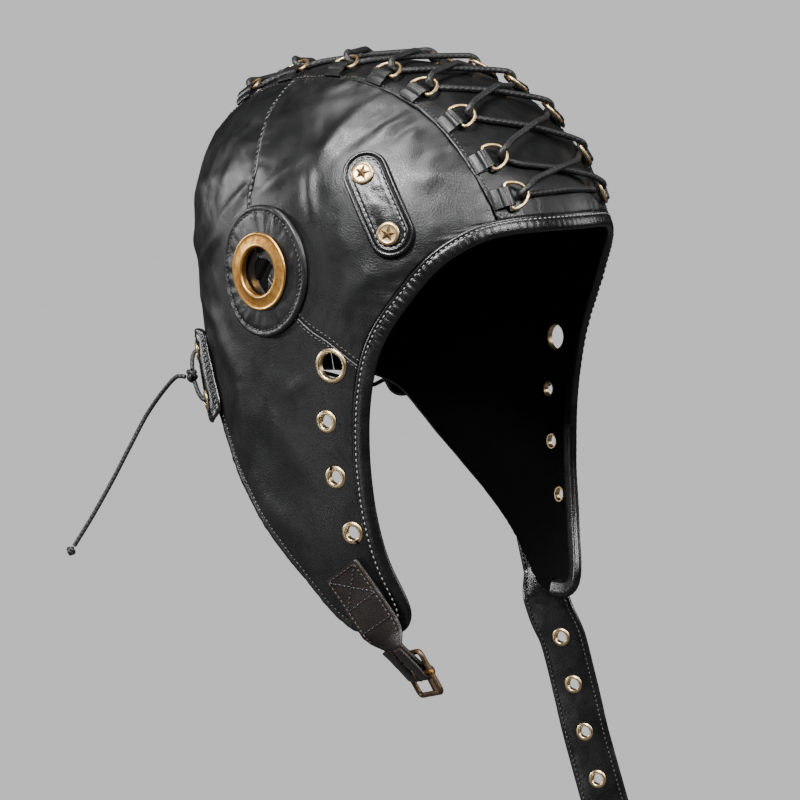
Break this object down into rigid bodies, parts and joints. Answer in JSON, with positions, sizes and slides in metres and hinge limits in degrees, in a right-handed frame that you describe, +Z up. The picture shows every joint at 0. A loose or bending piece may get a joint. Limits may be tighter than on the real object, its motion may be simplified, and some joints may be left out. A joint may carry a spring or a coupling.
{
  "type": "steampunk leather helmet",
  "caption": "Close-fitting lace-up leather cap with long ear flaps, crown lacing through rings, brass ear ports and a buckled chin strap.",
  "frame": {"origin": "inside of the crown at its highest point, on the centre plane", "axes": "+Z up; the front of the face opening looks along -Y; the wearer's right is -X"},
  "size_m": [0.1891, 0.2178, 0.3853],
  "materials": {
    "black_leather": "semi-gloss, grained",
    "trim_leather": "semi-gloss, gathered and creased",
    "brown_leather": "satin, worn",
    "antique_brass": "aged",
    "dark_steel": "blackened, bronze where it is rubbed",
    "black_cord": "braided, matte"
  },
  "bodies": {
    "cap": {"crown_strip": "black_leather", "side_panel_right": "black_leather", "flap_panel_right": "black_leather", "flap_eyelet_right_1": "antique_brass", "flap_eyelet_right_2": "antique_brass", "flap_eyelet_right_3": "antique_brass", "flap_eyelet_right_4": "antique_brass", "side_panel_left": "black_leather", "flap_panel_left": "black_leather", "flap_eyelet_left_1": "antique_brass", "flap_eyelet_left_2": "antique_brass", "flap_eyelet_left_3": "antique_brass", "flap_eyelet_left_4": "antique_brass", "face_binding": "trim_leather", "ear_patch_right": "black_leather", "ear_grommet_right": "antique_brass", "ear_patch_left": "black_leather", "ear_grommet_left": "antique_brass", "side_tab_right": "trim_leather", "star_stud_right_upper": "antique_brass", "star_stud_right_lower": "antique_brass", "side_tab_left": "trim_leather", "star_stud_left_upper": "antique_brass", "star_stud_left_lower": "antique_brass", "d_ring_right_1": "antique_brass", "d_ring_right_2": "antique_brass", "d_ring_right_3": "antique_brass", "d_ring_right_4": "antique_brass", "d_ring_right_5": "antique_brass", "d_ring_right_6": "antique_brass", "d_ring_right_7": "antique_brass", "d_ring_right_8": "antique_brass", "d_ring_left_1": "antique_brass", "d_ring_left_2": "antique_brass", "d_ring_left_3": "antique_brass", "d_ring_left_4": "antique_brass", "d_ring_left_5": "antique_brass", "d_ring_left_6": "antique_brass", "d_ring_left_7": "antique_brass", "d_ring_left_8": "antique_brass", "crown_lace": "black_cord", "back_eyelet_right_upper": "antique_brass", "back_eyelet_right_lower": "antique_brass", "back_tab_right": "trim_leather", "back_eyelet_left_upper": "antique_brass", "back_eyelet_left_lower": "antique_brass", "back_tab_left": "trim_leather", "back_lace": "black_cord", "lace_tail": "black_cord", "tail_knot": "black_cord", "strap_eyelet_1": "antique_brass", "strap_eyelet_2": "antique_brass", "strap_eyelet_3": "antique_brass", "strap_eyelet_4": "antique_brass", "chin_strap": "trim_leather", "buckle_strap": "brown_leather"},
    "buckle": {"buckle_frame": "dark_steel"},
    "prong": {"buckle_prong": "dark_steel"}
  },
  "joints": [
    {"name": "buckle_swing", "type": "hinge", "parent": "cap", "child": "buckle", "pos_m": [-0.0545, -0.0628, -0.2615], "axis": [0.4416, 0.8632, -0.2447], "range_deg": [0, 60]},
    {"name": "prong_swing", "type": "hinge", "parent": "buckle", "child": "prong", "pos_m": [-0.0545, -0.0628, -0.2615], "axis": [-0.4416, -0.8632, 0.2447], "range_deg": [0, 95]}
  ]
}
